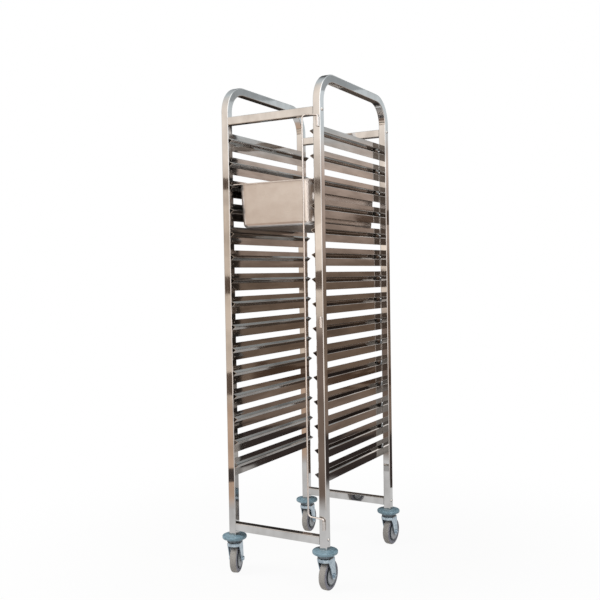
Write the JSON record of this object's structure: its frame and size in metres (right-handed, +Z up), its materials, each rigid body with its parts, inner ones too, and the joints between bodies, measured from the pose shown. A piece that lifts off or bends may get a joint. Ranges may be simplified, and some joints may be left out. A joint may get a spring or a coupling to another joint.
{
  "type": "serving trolley",
  "caption": "Tall narrow catering rack trolley of square tube with folded side runners, one deep pan, a retaining rod and swivel castors with round bumpers.",
  "frame": {"origin": "on the floor, in the middle of the footprint with the castors as posed", "axes": "+Z up, +X to the right seen from the front, -Y the front, with the rod; the pan's slide and the runners lie along Y"},
  "size_m": [0.4422, 0.6359, 1.7],
  "materials": {
    "polished_steel": "polished stainless steel",
    "plain_steel": "plain steel",
    "bolt_steel": "bright stainless steel",
    "pan_steel": "satin stainless steel",
    "insert_plastic": "moulded",
    "bumper_rubber": "semi-matt blue-grey",
    "dark_zinc": "zinc plated, in shade",
    "bright_zinc": "bright zinc plated",
    "guard_plastic": "moulded grey",
    "wheel_plastic": "moulded grey",
    "tyre_rubber": "soft grey"
  },
  "bodies": {
    "frame": {"left_frame": "polished_steel", "right_frame": "polished_steel", "top_front_crossbar": "polished_steel", "top_back_crossbar": "polished_steel", "bottom_front_crossbar": "polished_steel", "bottom_back_crossbar": "polished_steel", "crossbar_nut_plates": "plain_steel", "frame_bolts": "bolt_steel", "runner_pair_01": "polished_steel", "runner_pair_02": "polished_steel", "runner_pair_03": "polished_steel", "runner_pair_04": "polished_steel", "runner_pair_05": "polished_steel", "runner_pair_06": "polished_steel", "runner_pair_07": "polished_steel", "runner_pair_08": "polished_steel", "runner_pair_09": "polished_steel", "runner_pair_10": "polished_steel", "runner_pair_11": "polished_steel", "runner_pair_12": "polished_steel", "runner_pair_13": "polished_steel", "runner_pair_14": "polished_steel", "runner_pair_15": "polished_steel", "rod_sleeves": "polished_steel", "middle_sleeve_pin": "polished_steel", "castor_inserts": "insert_plastic", "front_left_bumper": "bumper_rubber", "front_left_swivel_head": "dark_zinc", "front_right_bumper": "bumper_rubber", "front_right_swivel_head": "dark_zinc", "back_left_bumper": "bumper_rubber", "back_left_swivel_head": "dark_zinc", "back_right_bumper": "bumper_rubber", "back_right_swivel_head": "dark_zinc"},
    "retaining_rod": {"retaining_rod": "polished_steel"},
    "pan": {"gastronorm_pan": "pan_steel"},
    "front_left_castor": {"front_left_fork": "bright_zinc", "front_left_thread_guards": "guard_plastic", "front_left_axle_bolt": "bright_zinc", "front_left_axle_nut": "bright_zinc"},
    "front_left_rolling": {"front_left_wheel": "wheel_plastic", "front_left_tyre": "tyre_rubber"},
    "front_right_castor": {"front_right_fork": "bright_zinc", "front_right_thread_guards": "guard_plastic", "front_right_axle_bolt": "bright_zinc", "front_right_axle_nut": "bright_zinc"},
    "front_right_rolling": {"front_right_wheel": "wheel_plastic", "front_right_tyre": "tyre_rubber"},
    "back_left_castor": {"back_left_fork": "bright_zinc", "back_left_thread_guards": "guard_plastic", "back_left_axle_bolt": "bright_zinc", "back_left_axle_nut": "bright_zinc"},
    "back_left_rolling": {"back_left_wheel": "wheel_plastic", "back_left_tyre": "tyre_rubber"},
    "back_right_castor": {"back_right_fork": "bright_zinc", "back_right_thread_guards": "guard_plastic", "back_right_axle_bolt": "bright_zinc", "back_right_axle_nut": "bright_zinc"},
    "back_right_rolling": {"back_right_wheel": "wheel_plastic", "back_right_tyre": "tyre_rubber"}
  },
  "joints": [
    {"name": "rod_swing", "type": "hinge", "parent": "frame", "child": "retaining_rod", "pos_m": [0.1845, -0.2937, 0.9], "axis": [0, 0, 1], "range_deg": [-3, 175]},
    {"name": "pan_slide", "type": "slide", "parent": "frame", "child": "pan", "axis": [0, 1, 0], "range_m": [-0.012, 0.5]},
    {"name": "front_left_swivel", "type": "hinge", "parent": "frame", "child": "front_left_castor", "pos_m": [-0.1785, -0.2752, 0.115], "axis": [0, 0, 1], "continuous": true},
    {"name": "front_left_roll", "type": "hinge", "parent": "front_left_castor", "child": "front_left_rolling", "pos_m": [-0.18468, -0.25618, 0.05], "axis": [0.9511, 0.309, 0], "continuous": true},
    {"name": "front_right_swivel", "type": "hinge", "parent": "frame", "child": "front_right_castor", "pos_m": [0.1785, -0.2752, 0.115], "axis": [0, 0, 1], "continuous": true},
    {"name": "front_right_roll", "type": "hinge", "parent": "front_right_castor", "child": "front_right_rolling", "pos_m": [0.1785, -0.2552, 0.05], "axis": [1, 0, 0], "continuous": true},
    {"name": "back_left_swivel", "type": "hinge", "parent": "frame", "child": "back_left_castor", "pos_m": [-0.1785, 0.2478, 0.115], "axis": [0, 0, 1], "continuous": true},
    {"name": "back_left_roll", "type": "hinge", "parent": "back_left_castor", "child": "back_left_rolling", "pos_m": [-0.18059, 0.26769, 0.05], "axis": [0.9945, 0.1045, 0], "continuous": true},
    {"name": "back_right_swivel", "type": "hinge", "parent": "frame", "child": "back_right_castor", "pos_m": [0.1785, 0.2478, 0.115], "axis": [0, 0, 1], "continuous": true},
    {"name": "back_right_roll", "type": "hinge", "parent": "back_right_castor", "child": "back_right_rolling", "pos_m": [0.17955, 0.26777, 0.05], "axis": [0.9986, -0.0523, 0], "continuous": true}
  ]
}
